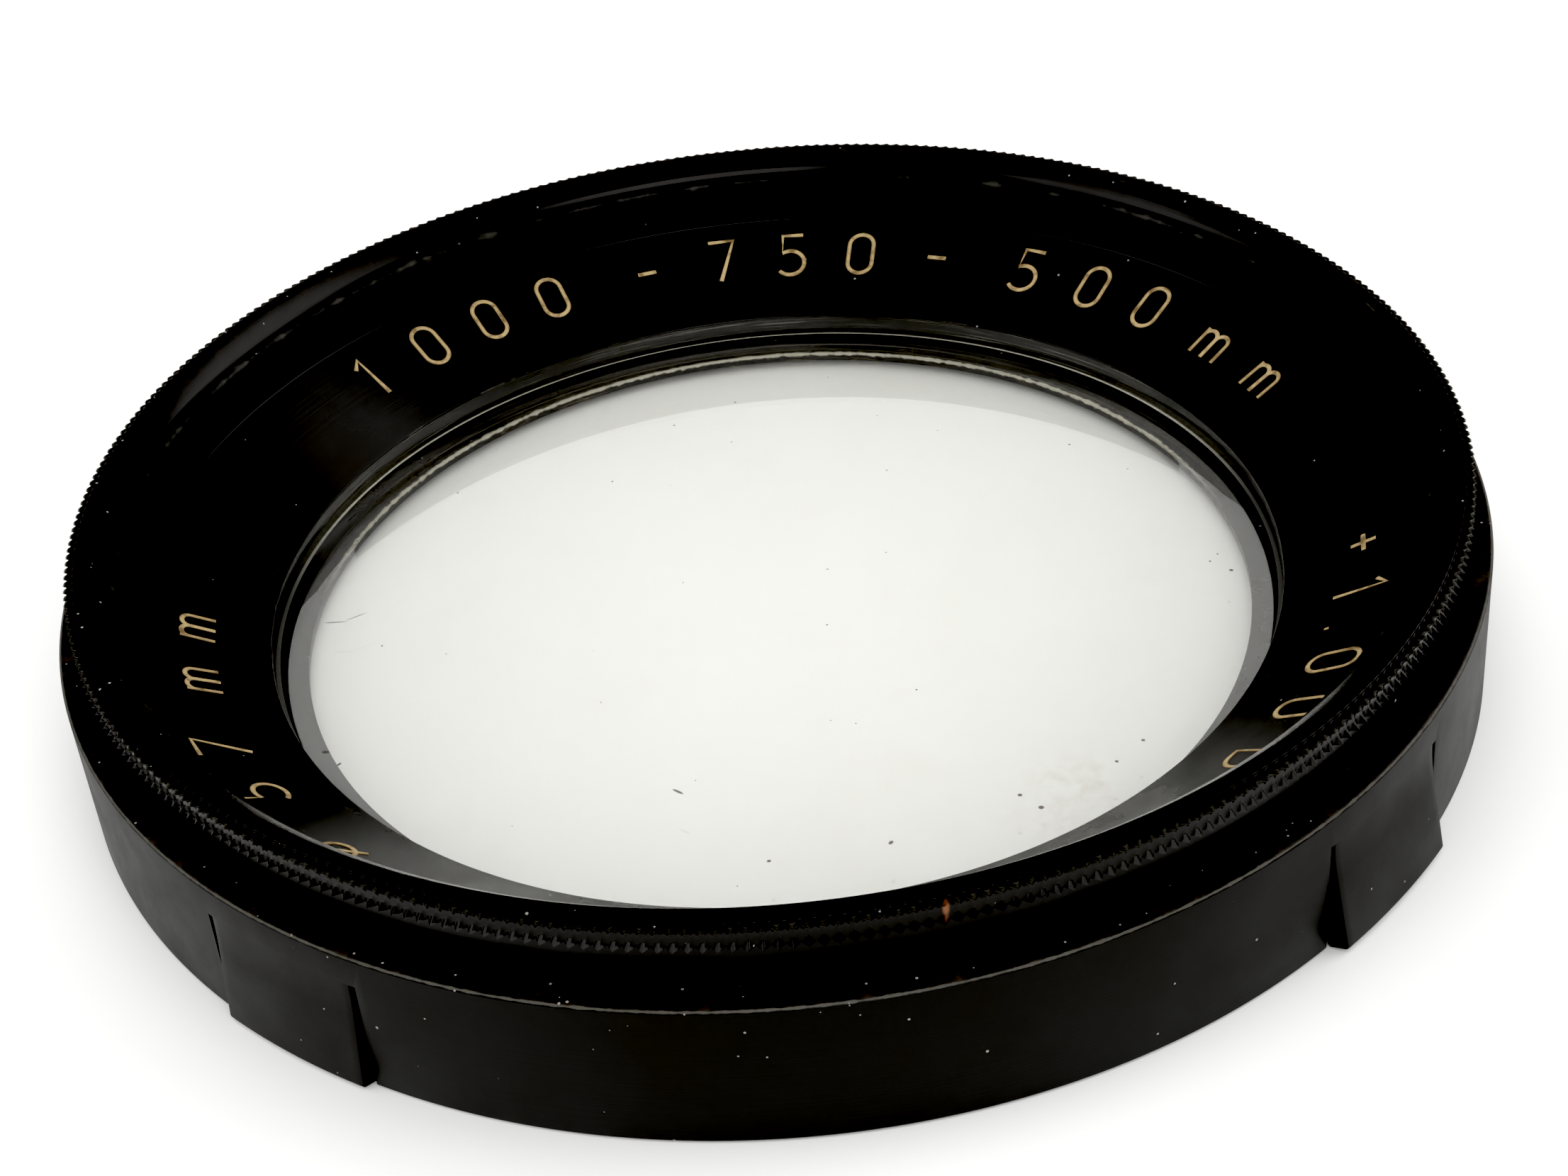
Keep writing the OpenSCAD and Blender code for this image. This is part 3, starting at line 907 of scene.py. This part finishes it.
round_sign = bow(0, 0.72, 0.26, 0, 180) + bow(0, 0.28, 0.26, 180, 360) + [(0.26, 0.72)]
arch = [(-0.32, 0.46)] + bow(-0.16, 0.46, 0.16, 180, 0) + [(0, 0)]
strokes = {
    "0": [round_sign],
    "1": [[(-0.15, 0.8), (0.05, 1), (0.05, 0)]],
    "5": [[(0.24, 1), (-0.2, 1), (-0.2, 0.56)] + bow(-0.04, 0.31, 0.3, 122, -140)],
    "7": [[(-0.28, 1), (0.26, 1), (-0.1, 0)]],
    "m": [[(-0.32, 0.64), (-0.32, 0)], arch, [(x + 0.32, y) for x, y in arch]],
    "D": [[(-0.26, 0), (-0.26, 1), (-0.04, 1)] + bow(-0.04, 0.7, 0.3, 90, 0)
          + bow(-0.04, 0.3, 0.3, 0, -90) + [(-0.26, 0)]],
    "o": [bow(0, 0.5, 0.28, 0, 360), [(-0.3, 0.12), (0.3, 0.88)]],
    "+": [[(-0.24, 0.5), (0.24, 0.5)], [(0, 0.26), (0, 0.74)]],
    "-": [[(-0.2, 0.5), (0.2, 0.5)]],
    ".": [[(-0.03, 0.04), (0.03, 0.04)]],
}
legends = (
    ("1000", (137, 128.5, 120.5, 112.5)),
    ("-750-", (101, 92, 84, 76, 67)),
    ("500mm", (56, 47.5, 39.5, 29.5, 20.5)),
    ("+1.00D", (-12, -19.5, -25, -31, -38.5, -47)),
    ("o57mm", (-134, -146, -154, -166, -175)),
)


def cut_figure(sign, place):
    """One figure of paint strokes, standing on the dish at its place round the ring."""
    drawing = bpy.data.curves.new("figure", "CURVE")
    drawing.dimensions = "3D"
    drawing.bevel_depth = stroke_w / 2
    drawing.bevel_resolution = 2
    drawing.use_fill_caps = True
    for stroke in strokes[sign]:
        looped = math.dist(stroke[0], stroke[-1]) < 0.001
        points = stroke[:-1] if looped else stroke
        line = drawing.splines.new("POLY")
        line.points.add(len(points) - 1)
        line.use_cyclic_u = looped
        for point, (x, y) in zip(line.points, points):
            point.co = (x * figure_h, y * figure_h, 0, 1)
    figure = bpy.data.objects.new("figure", drawing)
    bpy.context.collection.objects.link(figure)
    bpy.ops.object.select_all(action="DESELECT")
    figure.select_set(True)
    bpy.context.view_layer.objects.active = figure
    bpy.ops.object.convert(target="MESH")
    flatten = Matrix.Diagonal((1, 1, 3 * paint_rise / stroke_w, 1))
    lower = Matrix.Translation((0, 0, -paint_rise / 2))
    tilt = Matrix.Rotation(math.atan(dish_slope), 4, "X")
    stand = Matrix.Translation((0, figure_r, figure_z))
    turn = Matrix.Rotation(math.radians(place - 90), 4, "Z")
    figure.matrix_world = turn @ stand @ tilt @ lower @ flatten
    bpy.ops.object.transform_apply(location=True, rotation=True, scale=True)
    return bpy.context.object


figures = [cut_figure(sign, place) for signs, places in legends for sign, place in zip(signs, places)]
for figure in figures:
    figure.select_set(True)
paint = figures[0]
bpy.context.view_layer.objects.active = paint
bpy.ops.object.join()
paint.name = "figure_paint"
paint.data.name = "figure_paint"
bpy.ops.object.mode_set(mode="EDIT")
close_shell(paint)

gold_paint, tree, shader, place = new_finish("gold paint")
out = calc(tree, "SUBTRACT", radius_at(tree, place), opening_r)
dish_height = calc(tree, "ADD", calc(tree, "MULTIPLY", out, dish_slope), lip_top_z)
rise = calc(tree, "SUBTRACT", component(tree, place, 2), dish_height)
core = fade(tree, rise, 0.003 * mm, 0.019 * mm)
cloud = noise(tree, place, 0.5 * mm, 4, 0.6)
colour = mix_colours(tree, core, (0.12, 0.075, 0.028, 1), (0.42, 0.315, 0.16, 1))
colour = mix_colours(tree, fade(tree, cloud, 0.45, 0.7), colour, (0.15, 0.095, 0.038, 1))
tree.links.new(colour, shader.inputs["Base Color"])
tree.links.new(fade(tree, cloud, 0.3, 0.7, 0.45, 0.75), shader.inputs["Roughness"])
raise_grain(tree, shader, cloud, 0.4, 0.01 * mm)
paint.data.materials.append(gold_paint)
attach(paint, "cell")
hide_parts("engraving_fill")


# ---------------------------------------------------------------- Floor, light and camera
# White paper on a table, under soft light from all round: a pale room, and five round lamps with
# wide soft faces. The lamps above and behind are kept out of the gloss, so that the glass stays
# clear of their mirror images.
bpy.ops.object.select_all(action="DESELECT")
bpy.ops.mesh.primitive_plane_add(size=0.9, location=(0, 0, 0))
floor = bpy.context.object
floor.name = "floor"
paper, tree, shader, place = new_finish("white paper")
cloud = noise(tree, place, 60 * mm, 2)
colour = mix_colours(tree, cloud, (0.86, 0.86, 0.855, 1), (0.9, 0.9, 0.89, 1))
tree.links.new(colour, shader.inputs["Base Color"])
shader.inputs["Roughness"].default_value = 0.9
shader.inputs["Specular IOR Level"].default_value = 0.1
floor.data.materials.append(paper)

world = bpy.data.worlds.new("soft room")
world.use_nodes = True
tree = world.node_tree
direction = add_node(tree, "ShaderNodeTexCoord").outputs["Generated"]
height = fade(tree, component(tree, direction, 2), 0.0, 0.3)
room = mix_colours(tree, height, (0.32, 0.317, 0.31, 1), (0.16, 0.158, 0.155, 1))
ray = add_node(tree, "ShaderNodeLightPath").outputs
room = mix_colours(tree, ray["Is Glossy Ray"], (0.6, 0.6, 0.595, 1), room)
room = mix_colours(tree, ray["Is Camera Ray"], room, (1.0, 1.0, 0.99, 1))
tree.links.new(room, tree.nodes["Background"].inputs["Color"])
bpy.context.scene.world = world

lamp_distance = 0.6
lamp_size = 0.55
# Name, azimuth and elevation in degrees, and power in watts.
lamp_places = (
    ("top", 0, 89, 0.8),
    ("back", 100, 32, 1.15),
    ("left", 190, 32, 1.3),
    ("front", 280, 32, 1.75),
    ("right", 10, 32, 1.4),
)
for name, azimuth, elevation, power in lamp_places:
    light = bpy.data.lights.new(f"soft_lamp_{name}", "AREA")
    light.shape = "DISK"
    light.size = lamp_size
    light.energy = power
    lamp = bpy.data.objects.new(f"soft_lamp_{name}", light)
    bpy.context.collection.objects.link(lamp)
    raised = Matrix.Rotation(math.radians(-elevation), 3, "Y") @ Vector((lamp_distance, 0, 0))
    lamp.location = Matrix.Rotation(math.radians(azimuth), 3, "Z") @ raised
    lamp.rotation_mode = "QUATERNION"
    lamp.rotation_quaternion = (-lamp.location).to_track_quat("-Z", "Y")
    lamp.visible_glossy = name in ("front", "left", "right")

camera_elevation = math.radians(36.16)
camera_distance = 115.54 * mm
pan = math.radians(-0.18)
pitch = math.radians(0.93)
roll = math.radians(6.05)
back = Vector((0, -math.cos(camera_elevation), math.sin(camera_elevation)))
right = Vector((1, 0, 0))
ahead = -back
up = right.cross(ahead)
ahead.rotate(Matrix.Rotation(pan, 3, up))
right.rotate(Matrix.Rotation(pan, 3, up))
up.rotate(Matrix.Rotation(pitch, 3, right))
ahead.rotate(Matrix.Rotation(pitch, 3, right))
right.rotate(Matrix.Rotation(roll, 3, ahead))
up.rotate(Matrix.Rotation(roll, 3, ahead))
camera_data = bpy.data.cameras.new("camera")
camera_data.sensor_width = 36
camera_data.lens = 61.74
camera_data.clip_start = 10 * mm
camera_data.clip_end = 5
camera = bpy.data.objects.new("camera", camera_data)
bpy.context.collection.objects.link(camera)
aim = Matrix((right, up, -ahead)).transposed().to_4x4()
camera.matrix_world = Matrix.Translation(back * camera_distance) @ aim
bpy.context.scene.camera = camera
view = bpy.context.scene.view_settings
view.view_transform = "Standard"
view.exposure = 0.0
view.use_curve_mapping = True
view.curve_mapping.black_level = (0.034, 0.034, 0.034)
view.curve_mapping.update()
